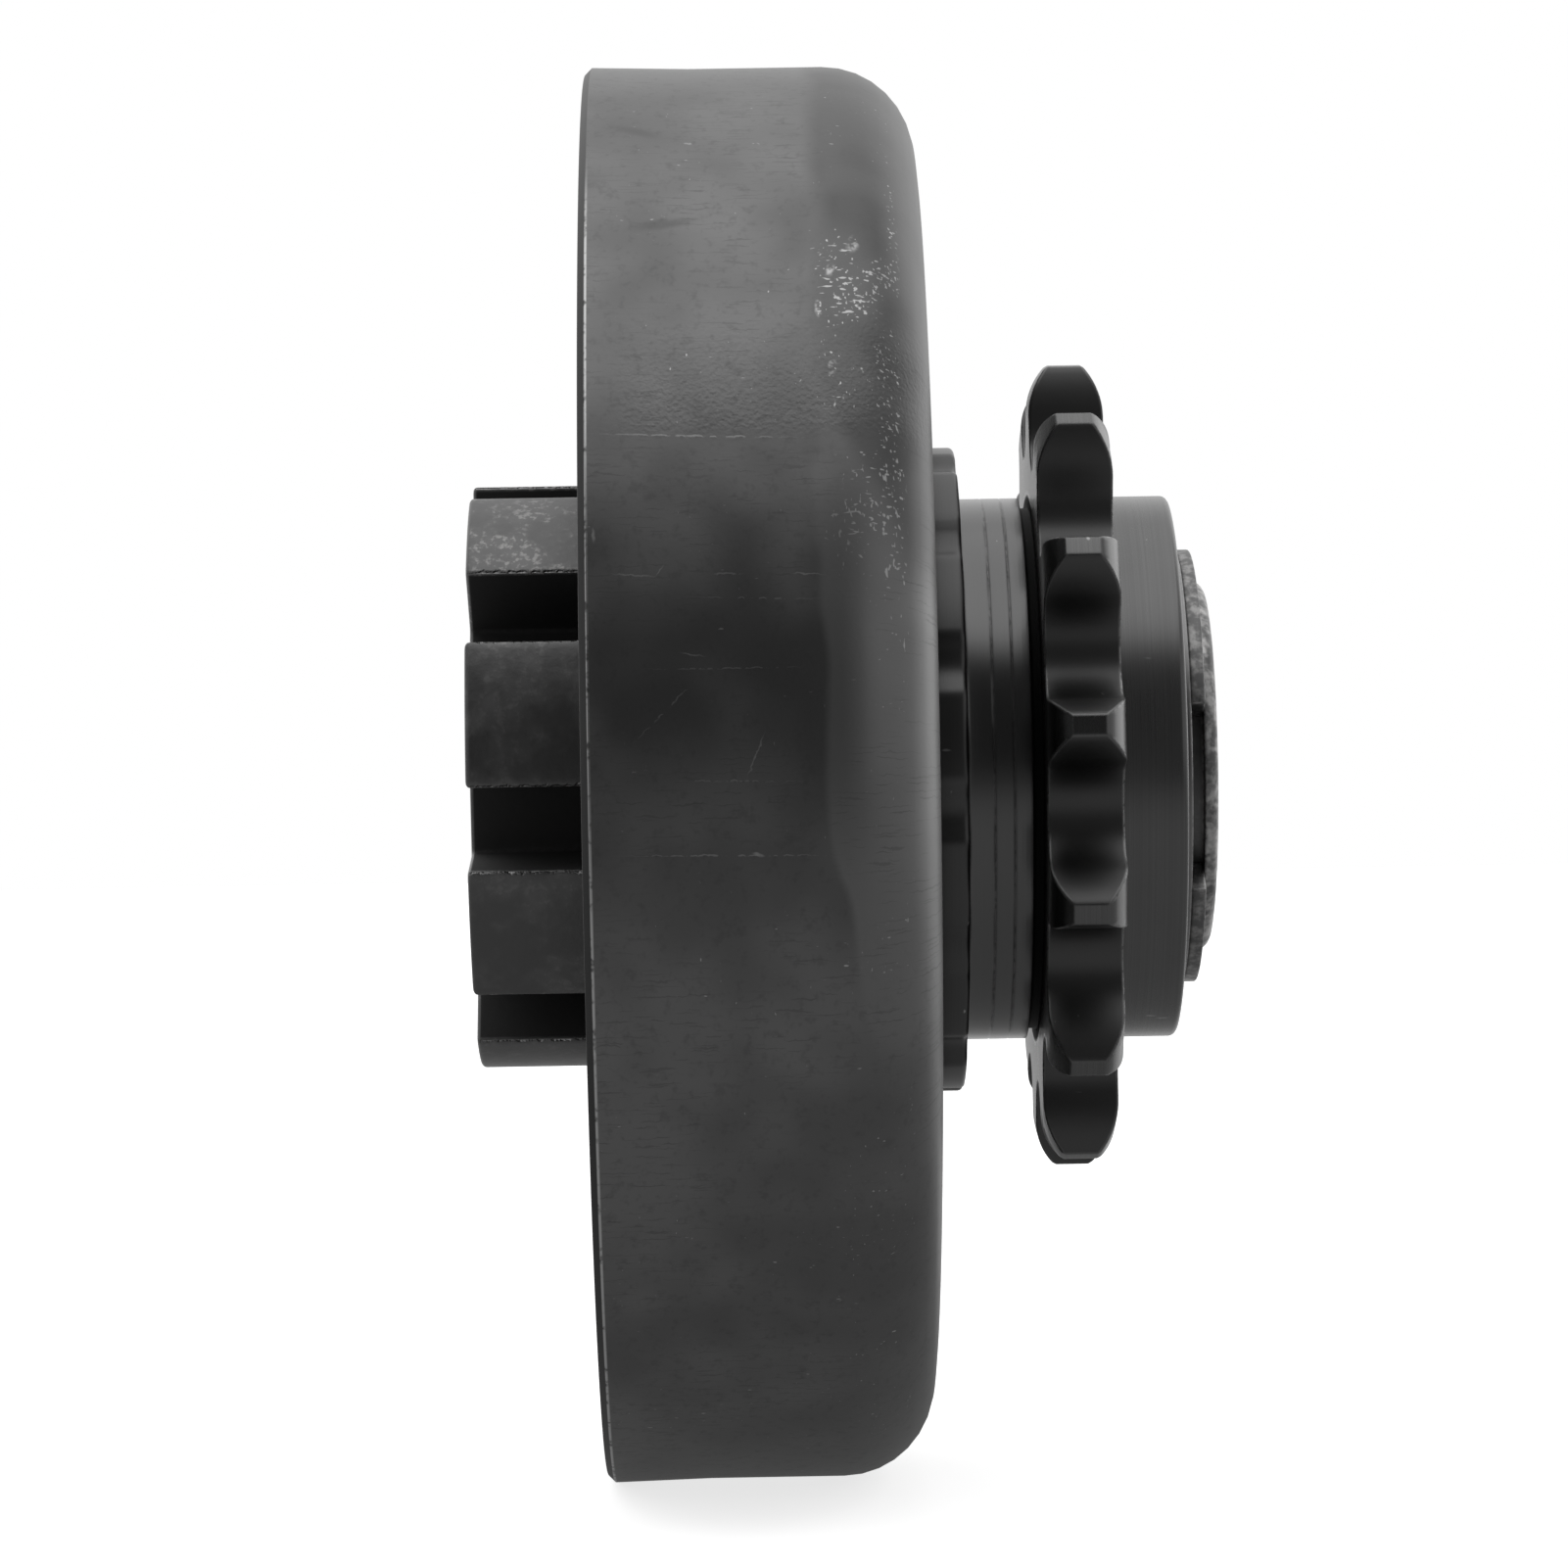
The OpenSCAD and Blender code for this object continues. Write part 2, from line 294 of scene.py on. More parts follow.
# a close-wound coil laid along an arc round the shaft, closed at both ends
def wireCoil(tree, given, out):
    count = product(given["Turns"], given["Steps a turn"])
    line = newNode(tree, "GeometryNodeMeshLine", {"Count": count})
    index = tree.nodes.new("GeometryNodeInputIndex").outputs[0]
    share = mathNode("DIVIDE", index, mathNode("SUBTRACT", count, 1.0))
    along = total(given["Start"], product(share, given["Sweep"]))
    wound = product(share, given["Turns"], 2 * math.pi)
    radius = total(given["Ring radius"], product(given["Coil radius"], mathNode("COSINE", wound)))
    height = total(given["Height"], product(given["Coil radius"], mathNode("SINE", wound)))
    place = joined(product(radius, mathNode("COSINE", along)), height,
                   product(radius, mathNode("SINE", along), -1.0))
    move = newNode(tree, "GeometryNodeSetPosition", {"Geometry": line.outputs[0], "Position": place})
    curve = newNode(tree, "GeometryNodeMeshToCurve", {0: move.outputs[0]})
    wire = newNode(tree, "GeometryNodeCurvePrimitiveCircle", {
        "Resolution": 8, "Radius": given["Wire radius"]})
    tube = newNode(tree, "GeometryNodeCurveToMesh", {
        "Curve": curve.outputs[0], "Profile Curve": wire.outputs[0], "Fill Caps": True})
    smooth = newNode(tree, "GeometryNodeSetShadeSmooth", {0: tube.outputs[0]})
    handOut(tree, smooth.outputs[0], given, out)


repeatTree = nodeGroup("GeometryNodeTree", "repeatRoundShaft", [
    ("Sector", "Geometry", None), ("Count", "Int", 8), ("Phase", "Float", 0.0), ("Finish", "Material", None),
], [("Geometry", "Geometry")], wireRepeat)
coilTree = nodeGroup("GeometryNodeTree", "garterCoil", [
    ("Geometry in", "Geometry", None), ("Turns", "Int", 32), ("Steps a turn", "Int", 14),
    ("Start", "Float", 0.0), ("Sweep", "Float", 0.785), ("Ring radius", "Float", 0.04),
    ("Coil radius", "Float", 0.0018), ("Wire radius", "Float", 0.0005), ("Height", "Float", 0.0),
    ("Finish", "Material", None),
], [("Geometry", "Geometry")], wireCoil)


# shader effects that several finishes share

# edges that a bevel would round are worn, in stretches that noise picks
def wireEdgeWear(tree, given, out):
    bevel = newNode(tree, "ShaderNodeBevel", {"Radius": given["Width"]})
    bevel.samples = 4
    normal = tree.nodes.new("ShaderNodeNewGeometry").outputs["Normal"]
    bend = mathNode("SUBTRACT", 1.0, vectorNode("DOT_PRODUCT", bevel.outputs[0], normal))
    broken = noise(objectPlace(tree), given["Breakup"], 2.0, 0.65)
    low = mathNode("SUBTRACT", 0.96, product(given["Amount"], 0.9))
    feed(out["Mask"], product(rise(bend, 0.005, 0.12), rise(broken, low, total(low, 0.08))))
    feed(out["Normal"], bevel.outputs[0])


# rings left by a lathe: they follow the height and the distance from the shaft
def wireTurning(tree, given, out):
    radius, height = shaftPlace(tree)[:2]
    rings = noise(joined(height, radius), product(given["Fineness"], mm), 2.0, 0.7, "2D")
    feed(out["Height"], rings)
    feed(out["Mask"], rise(rings, 0.4, 0.65))


# small irregular specks of bare metal, in two directions
def wireFlecks(tree, given, out):
    found = []
    for turn, squeeze in (((0.5, 0.9, 0.3), (1.0, 0.3, 1.0)), ((-0.6, 0.2, 1.1), (1.0, 1.0, 0.3))):
        inputs = {"Vector": objectPlace(tree), "Rotation": turn, "Scale": squeeze}
        stretch = newNode(tree, "ShaderNodeMapping", inputs)
        found.append(noise(stretch.outputs[0], given["Scale"], 1.0, 0.5))
    level = mathNode("SUBTRACT", 0.84, product(given["Density"], 0.22))
    feed(out["Mask"], rise(highest(*found), level, total(level, 0.07)))


# one mark on an unrolled surface: Size holds half its length and half its width, and it fades outwards
def wireStroke(tree, given, out):
    local = newNode(tree, "ShaderNodeMapping", {
        "Vector": given["Place"], "Location": given["Middle"], "Rotation": given["Turn"],
        "Scale": given["Size"]})
    local.vector_type = "TEXTURE"
    spindle = newNode(tree, "ShaderNodeTexGradient", {"Vector": local.outputs[0]})
    spindle.gradient_type = "SPHERICAL"
    feed(out["Mask"], spindle.outputs["Fac"])


edgeWear = nodeGroup("ShaderNodeTree", "edgeWear", [
    ("Width", "Float", 0.0004), ("Breakup", "Float", 900.0), ("Amount", "Float", 0.5),
], [("Mask", "Float"), ("Normal", "Vector")], wireEdgeWear)
turning = nodeGroup("ShaderNodeTree", "turningMarks", [
    ("Fineness", "Float", 4000.0),
], [("Height", "Float"), ("Mask", "Float")], wireTurning)
flecks = nodeGroup("ShaderNodeTree", "flecks", [
    ("Scale", "Float", 2400.0), ("Density", "Float", 0.5),
], [("Mask", "Float")], wireFlecks)
stroke = nodeGroup("ShaderNodeTree", "stroke", [
    ("Place", "Vector", (0, 0, 0)), ("Middle", "Vector", (0, 0, 0)), ("Turn", "Vector", (0, 0, 0)),
    ("Size", "Vector", (1, 0.1, 1)),
], [("Mask", "Float")], wireStroke)


# finishes

class Finish:
    def __init__(self, name, colour, roughness, metallic=1.0):
        self.material = bpy.data.materials.new(name)
        self.material.use_nodes = True
        self.tree = self.material.node_tree
        self.shader = self.tree.nodes["Principled BSDF"]
        self.shader.inputs["Metallic"].default_value = metallic
        self.place = objectPlace(self.tree)
        self.colour, self.roughness = colour, roughness
        self.heights = []
        self.rounded = None

    # places a shared effect and gives back its outputs
    def put(self, group, **values):
        node = self.tree.nodes.new("ShaderNodeGroup")
        node.node_tree = group
        for label, value in values.items():
            feed(node.inputs[label.capitalize()], value)
        return node.outputs

    def noise(self, scale, detail, roughness):
        return noise(self.place, scale, detail, roughness)

    def mixed(self, mask, kind, a, b):
        node = self.tree.nodes.new("ShaderNodeMix")
        node.data_type = kind
        first, second, result = (2, 3, 0) if kind == "FLOAT" else (6, 7, 2)
        for index, value in ((0, mask), (first, a), (second, b)):
            feed(node.inputs[index], value)
        return node.outputs[result]

    # where the mask is 1 the surface takes this colour and roughness
    def layer(self, mask, colour, roughness=None):
        self.colour = self.mixed(mask, "RGBA", self.colour, colour)
        if roughness is not None:
            self.roughness = self.mixed(mask, "FLOAT", self.roughness, roughness)

    # worn edges are bright and catch the light as if they were rounded
    def edges(self, width, breakup, colour, roughness):
        worn = self.put(edgeWear, width=width * mm, breakup=breakup, amount=0.6)
        self.layer(worn["Mask"], colour, roughness)
        self.rounded = worn["Normal"]

    # height is 0 to 1, and depth says how many millimetres 1 stands for
    def relief(self, height, depth):
        self.heights.append(product(height, depth))

    def close(self):
        feed(self.shader.inputs["Base Color"], self.colour)
        feed(self.shader.inputs["Roughness"], self.roughness)
        if self.heights:
            bump = newNode(self.tree, "ShaderNodeBump", {"Distance": mm, "Height": total(*self.heights)})
            if self.rounded:
                feed(bump.inputs["Normal"], self.rounded)
            feed(self.shader.inputs["Normal"], bump.outputs[0])
        return self.material


# marks on the drum: from (height, angle), to (height, angle) and the width in millimetres
drumMarks = dict(
    faint=[
        ((1.1, -25.7), (15.6, -25.2), 0.11), ((8.9, -14.5), (11.6, -14.5), 0.09),
        ((8.1, -12.8), (17.1, -12.5), 0.07), ((4.7, -7.5), (15.6, -7.5), 0.08),
        ((2.9, 0.0), (4.6, -0.2), 0.12), ((6.0, 0.6), (15.5, 0.8), 0.07),
        ((2.8, 6.0), (17.4, 6.2), 0.08), ((3.8, -2.2), (8.3, -6.8), 0.08)],
    bright=[
        ((2.4, -14.6), (5.5, -14.4), 0.08), ((5.5, -14.4), (5.95, -15.3), 0.07),
        ((14.9, -14.5), (17.2, -14.4), 0.08), ((7.1, -8.7), (8.8, -8.4), 0.08),
        ((11.6, 0.5), (12.9, -2.8), 0.075), ((12.0, 6.0), (12.6, 6.1), 0.15),
        ((1.15, -18.0), (1.15, -17.1), 0.16)],
    patches=[
        ((20.0, -44.2), (19.8, -43.2), 0.6), ((18.3, -41.0), (18.1, -40.3), 0.45),
        ((17.3, -37.6), (17.3, -36.0), 0.32), ((18.2, -31.6), (18.0, -30.8), 0.42),
        ((7.8, -57.6), (8.2, -57.4), 0.25), ((12.8, -57.4), (13.2, -57.2), 0.25)],
    smudges=[((4.0, -45.6), (8.0, -46.5), 0.8), ((3.0, -60.2), (5.5, -58.8), 0.9)],
)


# In a finish's settings, two numbers beside a tone's name are its grey and its roughness. Two limits
# say where a mask rises or falls, and four where it rises and falls again.
def drumFinish():
    look = dict(
        # corner is a painted lighter tone and shaded a painted shade
        base=(0.155, 0.37), pale=(0.225, 0.43), worked=(0.1, 0.45), corner=(0.27, 0.4), shaded=(0.105, 0.4),
        smudge=(0.1, 0.5), scratch=(0.6, 0.35), cloud=(0.2, 0.42), speck=(0.5, 0.32), patch=(0.6, 0.32),
        chamfer=(0.07, 0.45), rim=(0.6, 0.3), track=0.42, trackRing=0.3, trackRoughness=0.3,
        wall=55.1, outsideRadius=(53.0, 53.4), waviness=3.0,
        cornerHeights=(17.9, 18.7), cornerDrop=(4.0, -2.0, 26.0), cornerAngles=(-32.0, -12.0, 8.0, 26.0),
        shadeHeights=(17.8, 19.6), shadeDrop=(5.2, -31.0, -16.0), shadeAngles=(-130.0, -75.0, -20.0, -12.0),
        sway=0.5, hairStretch=(0.06, 1.0, 1.0), taper=0.6,
        fleckHeights=(15.5, 18.5), fleckRadius=(46.0, 50.0), worstAngles=(-58.0, -44.0, -22.0, -2.0),
        patchShift=(0.2, 0.4, 0.1), lowerAngles=(-5.0, 8.0),
        grainAngles=(-40.0, -32.0, -27.0, -25.0), grainHeights=(1.5, 5.0),
        stripHeights=(20.6, 21.4, 22.8, 23.6), stripAngles=(-40.0, -33.0, -16.0, -10.0),
        chamferHeights=(0.5, 0.56), rimHeights=(0.46, 0.54, 0.62, 0.74),
        rimAngles=(-56.0, -42.0, 110.0, 150.0), trackRadius=(51.75, 51.95), trackHeights=(19.5, 20.5),
    )
    made = Finish("blackDrum", *look["base"])
    radius, height, down = shaftPlace(made.tree)
    outside = rise(radius, *look["outsideRadius"])
    soft, broken = made.noise(75.0, 2.0, 0.6), made.noise(1100.0, 2.0, 0.7)
    made.layer(rise(soft, 0.34, 0.66), *look["pale"])
    made.layer(product(rise(broken, 0.5, 0.75), 0.3), *look["worked"])
    wavy = total(height, product(soft, look["waviness"]))

    # above a wavy boundary, which climbs by drop between two angles
    def above(limits, drop, *angles):
        return rise(total(wavy, product(rise(down, *angles), -drop)), *limits)

    # Painted light and shade on the drum's rounded corner: a paler band round the side towards the camera,
    # and a shaded band higher up.
    paintedLightCorner = above(look["cornerHeights"], *look["cornerDrop"])
    made.layer(product(paintedLightCorner, between(down, *look["cornerAngles"]), 0.85), *look["corner"])
    shade = above(look["shadeHeights"], *look["shadeDrop"])
    made.layer(product(shade, between(down, *look["shadeAngles"]), 0.75), *look["shaded"])
    sway = product(broken, look["sway"])
    unrolled = joined(total(height, sway), total(product(down, math.radians(look["wall"])), sway))
    hairs = noise(vectorNode("MULTIPLY", unrolled, look["hairStretch"]), 5.0, 1.0, 0.5, "2D")
    made.layer(product(rise(hairs, 0.64, 0.74), rise(soft, 0.4, 0.6), 0.35), *look["smudge"])

    def marks(kind):
        found = []
        for start, end, width in drumMarks[kind]:
            first, last = (Vector((y, math.radians(turn) * look["wall"], 0)) for y, turn in (start, end))
            way = last - first
            middle = (first + last) / 2 + Vector((look["sway"] / 2, look["sway"] / 2, 0))
            size = (way.length * look["taper"] + width, width, 1)
            turn = (0, 0, math.atan2(way.y, way.x))
            found.append(made.put(stroke, place=unrolled, middle=middle, turn=turn, size=size)["Mask"])
        return product(rise(highest(*found), 0.0, 0.8), outside)

    made.layer(product(marks("smudges"), soft, 0.8), *look["smudge"])
    made.layer(product(marks("faint"), rise(broken, 0.44, 0.54), 0.4), *look["scratch"])
    made.layer(product(marks("bright"), rise(broken, 0.3, 0.4), 0.55), *look["scratch"])
    worst = between(down, *look["worstAngles"])
    corner = product(rise(height, *look["fleckHeights"]), rise(radius, *look["fleckRadius"]))
    patchy = rise(noise(vectorNode("ADD", made.place, look["patchShift"]), 130.0, 1.0, 0.5), 0.34, 0.58)
    cloud = product(corner, patchy, total(product(worst, 0.55), 0.45))
    made.layer(product(cloud, 0.5), *look["cloud"])
    grain = product(between(down, *look["grainAngles"]), rise(height, *look["grainHeights"]))
    strip = product(between(height, *look["stripHeights"]), between(down, *look["stripAngles"]), 0.9)
    lower = product(corner, rise(down, *look["lowerAngles"]), patchy, 0.5)
    patches = marks("patches")
    density = highest(cloud, product(grain, 0.3), product(patchy, 0.33), lower, strip, patches)
    bare = made.put(flecks, scale=3700.0, density=density)["Mask"]
    made.layer(product(bare, outside), *look["speck"])
    made.layer(product(patches, rise(broken, 0.42, 0.62), 0.8), *look["patch"])
    made.layer(product(fall(height, *look["chamferHeights"]), outside), *look["chamfer"])
    rim = product(between(height, *look["rimHeights"]), between(down, *look["rimAngles"]), outside)
    made.layer(product(rim, rise(broken, 0.3, 0.5)), *look["rim"])
    track = product(fall(radius, *look["trackRadius"]), fall(height, *look["trackHeights"]))
    rings = made.put(turning, fineness=2600.0)["Mask"]
    made.layer(track, made.mixed(rings, "RGBA", look["track"], look["trackRing"]), look["trackRoughness"])
    made.relief(product(made.noise(3000.0, 1.0, 0.5), total(grain, 0.15)), 0.028)
    return made.close()


def sprocketFinish():
    look = dict(
        base=(0.13, 0.25), pale=(0.165, 0.31), ringed=(0.17, 0.27), flank=(0.115, 0.42), bare=(0.45, 0.3),
        # barrel is painted lighter where the flange and teeth shade it, and groove is painted shade
        barrel=(0.15, 0.22), flange=(0.075, 0.36), groove=(0.02, 0.6), dent=(0.4, 0.35),
        toothHeights=(33.95, 34.1, 39.7, 39.85), toothFoot=(23.0, 24.5), toothTip=(31.5, 31.58),
        barrelHeights=(28.3, 28.5, 33.9, 34.1), barrelRadius=(21.6, 22.0), flangeHeights=(28.1, 28.3),
        grooveHeights=(33.1, 33.2, 34.0, 34.1), grooveRadius=(21.2, 21.6),
    )
    made = Finish("blackSprocket", *look["base"])
    radius, height = shaftPlace(made.tree)[:2]
    made.layer(made.noise(150.0, 2.0, 0.6), *look["pale"])
    rings = made.put(turning, fineness=9000.0)
    made.layer(product(rings["Mask"], 0.6), *look["ringed"])
    normal = made.tree.nodes.new("ShaderNodeNewGeometry").outputs["Normal"]
    upright = fall(mathNode("ABSOLUTE", parted(normal)["Y"]), 0.03, 0.12)
    tooth = product(rise(radius, *look["toothFoot"]), fall(radius, *look["toothTip"]))
    made.layer(product(between(height, *look["toothHeights"]), tooth, upright), *look["flank"])
    made.edges(0.22, 1500.0, *look["bare"])
    # Painted light: the barrel between flange and teeth is painted lighter, against the shade that they cast
    # on it.
    barrel = product(between(height, *look["barrelHeights"]), fall(radius, *look["barrelRadius"]))
    made.layer(product(barrel, 0.7), *look["barrel"])
    made.layer(product(fall(height, *look["flangeHeights"]), 0.7), *look["flange"])
    # Painted shade: the undercut groove beside the teeth is painted nearly black.
    groove = product(between(height, *look["grooveHeights"]), fall(radius, *look["grooveRadius"]))
    made.layer(groove, *look["groove"])
    made.layer(made.put(flecks, scale=1300.0, density=0.32)["Mask"], *look["dent"])
    made.relief(rings["Height"], 0.004)
    return made.close()


def hubFinish():
    look = dict(
        # slot is painted shade inside the slots
        base=(0.135, 0.4), pale=(0.19, 0.46), speck=(grey(0.36, 0.01), 0.5), slot=(0.09, 0.8),
        # edge is a bright band on the slot edges: partly bare worn metal, partly painted highlight
        end=grey(0.55, 0.01), endDark=0.17, endRoughness=0.42, edge=(0.6, 0.3), bare=(0.6, 0.35),
        topRibAngles=(-140.0, -100.0, -34.0, -22.0), slotRadius=(22.35, 22.6),
        slotHeights=(-9.3, -9.2, 18.8, 18.9), endHeights=(46.4, 46.8), edgeAcross=(3.6, 3.85),
        edgeRadius=(22.6, 22.7), raggedness=0.9,
    )
    made = Finish("blackHub", *look["base"])
    radius, height, down = shaftPlace(made.tree)
    cloud, fine = made.noise(210.0, 3.0, 0.65), made.noise(1500.0, 2.0, 0.7)
    made.layer(rise(cloud, 0.4, 0.7), *look["pale"])
    often = total(product(between(down, *look["topRibAngles"]), 0.8), 0.2)
    made.layer(product(rise(fine, 0.5, 0.66), rise(cloud, 0.46, 0.6), often), *look["speck"])
    # Painted shade: inside the slots the hub is painted darker, where shade falls.
    slotShade = product(fall(radius, *look["slotRadius"]), between(height, *look["slotHeights"]))
    made.layer(slotShade, *look["slot"])
    mottle = total(product(made.noise(600.0, 2.0, 0.6), 0.6), product(fine, 0.4))
    rough = made.mixed(rise(mottle, 0.4, 0.64), "RGBA", look["endDark"], look["end"])
    made.layer(rise(height, *look["endHeights"]), rough, look["endRoughness"])
    # A ragged bright band along each slot's edge on the ribs, pressed in a little by the relief: partly bare
    # worn metal, partly a painted highlight of the rounded edge.
    fromSlot = mathNode("PINGPONG", mathNode("SUBTRACT", down, slotPhase), 180 / slotCount)
    across = product(radius, fromSlot, math.pi / 180)
    ragged = total(across, product(fine, look["raggedness"]))
    edge = product(fall(ragged, *look["edgeAcross"]), rise(radius, *look["edgeRadius"]))
    made.layer(edge, *look["edge"])
    made.relief(mathNode("SUBTRACT", product(fine, 0.07), edge), 0.28)
    made.edges(0.24, 2000.0, *look["bare"])
    return made.close()


def plainFinish(name, base, roughness, wear=None):
    made = Finish(name, base, roughness)
    made.layer(made.noise(130.0, 2.0, 0.6), base * 0.75, roughness + 0.1)
    rings = made.put(turning, fineness=3000.0)
    made.layer(product(rings["Mask"], 0.35), base * 1.25, roughness - 0.05)
    made.relief(rings["Height"], 0.004)
    if wear:
        made.edges(0.2, 1200.0, wear, 0.3)
    return made.close()


def ringFinish():
    made = Finish("roughRing", 0.17, 0.45)
    rough = made.noise(800.0, 3.0, 0.65)
    made.layer(rise(rough, 0.42, 0.66), grey(0.36, 0.01), 0.4)
    made.relief(rough, 0.02)
    made.edges(0.2, 1200.0, 0.6, 0.3)
    return made.close()


def sinterFinish():
    made = Finish("sinteredShoe", grey(0.2, 0.02), 0.5)
    pores = made.noise(1900.0, 2.0, 0.7)
    made.layer(rise(pores, 0.5, 0.7), grey(0.1, 0.02), 0.6)
    made.layer(rise(made.noise(150.0, 2.0, 0.6), 0.5, 0.75), grey(0.27, 0.03), 0.45)
    made.relief(pores, 0.03)
    made.edges(0.3, 1100.0, 0.42, 0.35)
    return made.close()


def liningFinish():
    made = Finish("frictionLining", (0.10, 0.082, 0.062), 0.78, metallic=0.0)
    grit = made.noise(1300.0, 3.0, 0.7)
    made.layer(rise(grit, 0.5, 0.62), (0.055, 0.045, 0.036), 0.85)
    made.layer(made.put(flecks, scale=1900.0, density=0.6)["Mask"], (0.42, 0.3, 0.16), 0.45)
    made.relief(grit, 0.05)
    return made.close()


def bronzeFinish():
    made = Finish("bronzeBush", (0.55, 0.36, 0.17), 0.32)
    made.layer(made.noise(400.0, 3.0, 0.6), (0.38, 0.25, 0.12), 0.45)
    made.relief(made.put(turning, fineness=4200.0)["Height"], 0.006)
    return made.close()


finishes = dict(
    drum=drumFinish(), sprocket=sprocketFinish(), hub=hubFinish(), sinter=sinterFinish(),
    lining=liningFinish(), bronze=bronzeFinish(), ring=ringFinish(),
    plate=plainFinish("plainSteel", 0.42, 0.3, wear=0.7),
    washer=plainFinish("washerSteel", 0.3, 0.35, wear=0.6),
    wire=plainFinish("springWire", 0.34, 0.28),
)
print("finishes made:", len(finishes))


# the drum, turned as one closed section

drumLook = dict(rimFlare=0.2, flareLength=8.0, flareRound=3.0, rimChamfer=0.55, wall=3.5, web=3.5, corner=7.0,
                innerCorner=3.5, hole=22.0, edge=0.12, boreEdge=0.3, columns=300)


def makeDrum(s):
    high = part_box("drum")[1]
    rim, depth, edge = high.x / mm, high.y / mm, s["edge"]
    wall = rim - s["rimFlare"]
    inner, inside = wall - s["wall"], depth - s["web"]
    section = rounded([
        (rim - s["rimChamfer"], 0, edge), (rim, s["rimChamfer"], edge),
        (wall, s["flareLength"], s["flareRound"]), (wall, depth, s["corner"]), (s["hole"], depth, 0),
        (s["hole"], inside, edge), (inner, inside, s["innerCorner"]), (inner, s["boreEdge"], edge),
        (inner + s["boreEdge"], 0, edge),
    ], steps=8)
    rows = [[aroundShaft(p.x, p.y, 360 * k / s["columns"]) for p in section] for k in range(s["columns"])]
    drum = gridMesh("drum_shell", rows)
    faceOutwards(drum)
    drum.data.materials.append(finishes["drum"])
    smoothShade(drum)
    settle(drum, "drum_assembly", "drum_steel", "drum")


makeDrum(drumLook)
print("drum made")


# the sprocket: one tooth's sector with its share of neck, flange and barrel, repeated round the shaft

sprocketLook = dict(
    teeth=14, phase=-5.5, pitch=12.7, roller=7.77, bedFactor=0.507, tipFactor=0.6, flankAngle=22,
    flankLength=0.8, topping=8.5, relief=1.5, reliefRadius=5.5, bore=17.0, lip=23.5, lipIn=20.6, webIn=21.8,
    neck=22.0, drumDepth=25.3, flange=25.3, flangeOut=28.2, barrel=21.25, toothIn=34.0, toothOut=39.8,
    barrelEnd=44.9, undercut=0.8, undercutDepth=0.8, scores=(2.0, 3.5), scoreWidth=0.14, scoreDepth=0.05,
    edge=0.16, edgeShare=0.29, border=0.08, tipRound=0.25)


# points from the middle of a tooth space to the middle of the tooth, and the radius of the tip
def toothOutline(s):
    half = math.pi / s["teeth"]
    pitchRadius = s["pitch"] / 2 / math.sin(half)
    tip = s["pitch"] * (s["tipFactor"] + 1 / math.tan(half)) / 2
    bedRadius = s["bedFactor"] * s["roller"]
    bed, flank = math.radians(90 - s["flankAngle"]), math.radians(s["flankAngle"])
    corners = []
    for k in range(8):
        a = math.pi - bed * k / 7
        corners.append((pitchRadius + bedRadius * math.cos(a), bedRadius * math.sin(a), 0))
    x = corners[-1][0] + s["flankLength"] * math.cos(flank)
    y = corners[-1][1] + s["flankLength"] * math.sin(flank)
    centre = (x - s["topping"] * math.sin(flank), y + s["topping"] * math.cos(flank))
    sweep = 0.0
    while True:
        a = flank - math.pi / 2 + sweep
        x, y = centre[0] + s["topping"] * math.cos(a), centre[1] + s["topping"] * math.sin(a)
        if math.hypot(x, y) >= tip - 0.02:
            break
        corners.append((x, y, 0))
        sweep += math.radians(2.5)
    landStart = math.atan2(y, x)
    for k, radius in enumerate((s["tipRound"], 0, 0, 0)):
        a = landStart + (half - landStart) * k / 3
        corners.append((tip * math.cos(a), tip * math.sin(a), radius))
    path = rounded(corners, closed=False, steps=3)
    return [(p.length, math.degrees(half - math.atan2(p.y, p.x))) for p in path], tip


